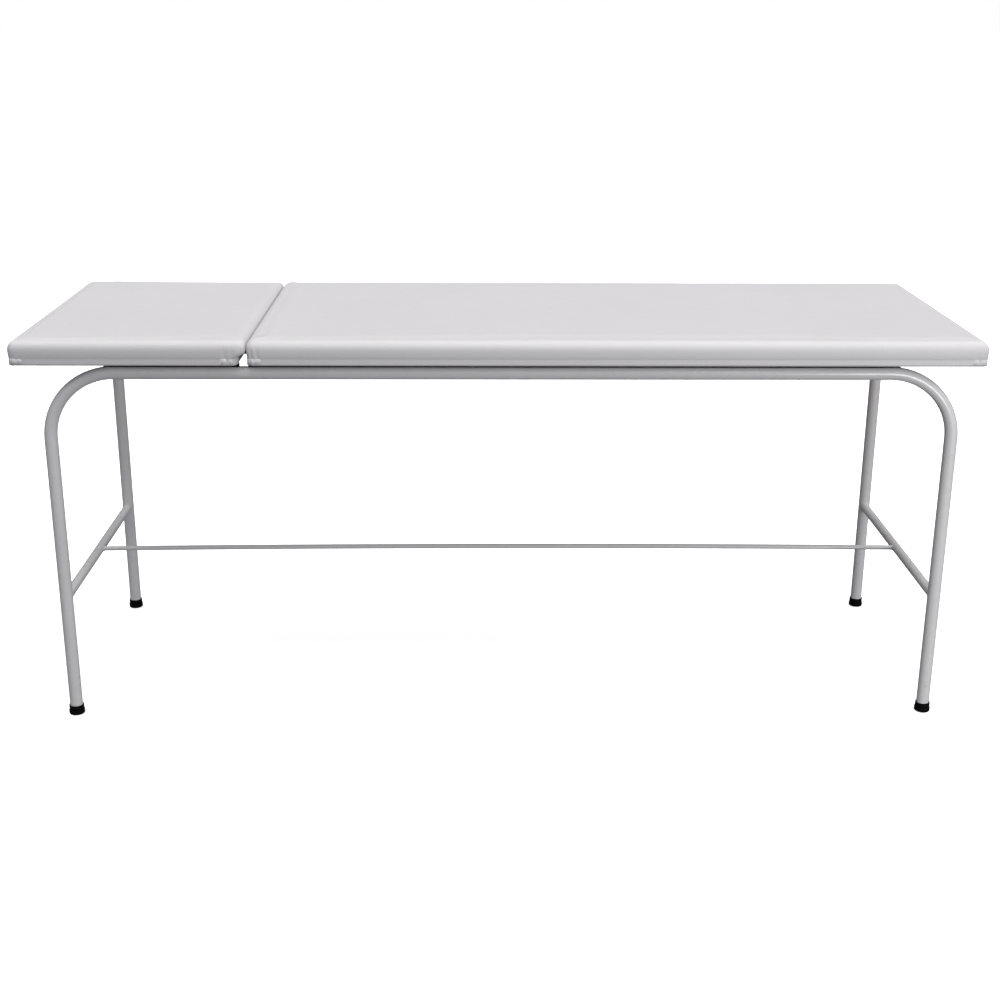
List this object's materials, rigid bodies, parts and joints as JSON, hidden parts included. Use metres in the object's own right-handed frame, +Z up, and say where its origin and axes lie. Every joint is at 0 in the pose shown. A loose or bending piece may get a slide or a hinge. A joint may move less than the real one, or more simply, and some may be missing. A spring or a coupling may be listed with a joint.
{
  "type": "examination couch",
  "caption": "Flat padded couch on a welded tube frame with rubber feet; the short head section is hinged and lifts on a ratchet prop.",
  "frame": {"origin": "on the floor, under the middle of the bed", "axes": "+Z up, +X along the bed to the foot end, -Y towards the front"},
  "size_m": [1.85, 0.626, 0.785],
  "materials": {
    "enamel": "white gloss enamel, lightly worn",
    "rubber": "matt black",
    "vinyl": "white upholstery vinyl, fine grain, satin",
    "foam": "open-cell foam",
    "plywood": "unfinished plywood",
    "zinc_steel": "zinc plated"
  },
  "bodies": {
    "root": {"side_frame_front": "enamel", "side_frame_rear": "enamel", "cross_stretcher_head": "enamel", "cross_stretcher_foot": "enamel", "long_stretcher": "enamel", "top_member_head": "enamel", "top_member_hinge": "enamel", "top_member_middle": "enamel", "top_member_foot": "enamel", "rubber_foot_front_head": "rubber", "rubber_foot_front_foot": "rubber", "rubber_foot_rear_head": "rubber", "rubber_foot_rear_foot": "rubber", "seat_strip_head_front": "rubber", "seat_strip_main_front": "rubber", "seat_strip_head_rear": "rubber", "seat_strip_main_rear": "rubber", "main_board": "plywood", "main_foam": "foam", "main_cover": "vinyl", "hinge_leaf_fixed_front": "zinc_steel", "hinge_pin_front": "zinc_steel", "hinge_screw_main_front_a": "zinc_steel", "hinge_screw_main_front_b": "zinc_steel", "ratchet_rack_front": "enamel", "board_screw_hinge_front": "zinc_steel", "board_screw_middle_front": "zinc_steel", "board_screw_foot_front": "zinc_steel", "hinge_leaf_fixed_rear": "zinc_steel", "hinge_pin_rear": "zinc_steel", "hinge_screw_main_rear_a": "zinc_steel", "hinge_screw_main_rear_b": "zinc_steel", "ratchet_rack_rear": "enamel", "board_screw_hinge_rear": "zinc_steel", "board_screw_middle_rear": "zinc_steel", "board_screw_foot_rear": "zinc_steel"},
    "head": {"head_board": "plywood", "head_foam": "foam", "head_cover": "vinyl", "hinge_leaf_moving_front": "zinc_steel", "hinge_screw_head_front_a": "zinc_steel", "hinge_screw_head_front_b": "zinc_steel", "prop_bracket_front": "enamel", "prop_pin_front": "zinc_steel", "bracket_screw_front_a": "zinc_steel", "bracket_screw_front_b": "zinc_steel", "hinge_leaf_moving_rear": "zinc_steel", "hinge_screw_head_rear_a": "zinc_steel", "hinge_screw_head_rear_b": "zinc_steel", "prop_bracket_rear": "enamel", "prop_pin_rear": "zinc_steel", "bracket_screw_rear_a": "zinc_steel", "bracket_screw_rear_b": "zinc_steel"},
    "prop": {"prop_arm_front": "enamel", "prop_arm_rear": "enamel", "prop_crossbar": "zinc_steel"}
  },
  "joints": [
    {"name": "head_tilt", "type": "hinge", "parent": "root", "child": "head", "pos_m": [-0.488, 0, 0.7377], "axis": [0, 1, 0], "range_deg": [0, 45]},
    {"name": "prop_swing", "type": "hinge", "parent": "head", "child": "prop", "pos_m": [-0.613, 0, 0.7225], "axis": [0, 1, 0], "range_deg": [-91.5, 0]}
  ],
  "couplings": [
    {"joint": "prop_swing", "follows": "head_tilt", "ratio": -2.02}
  ]
}
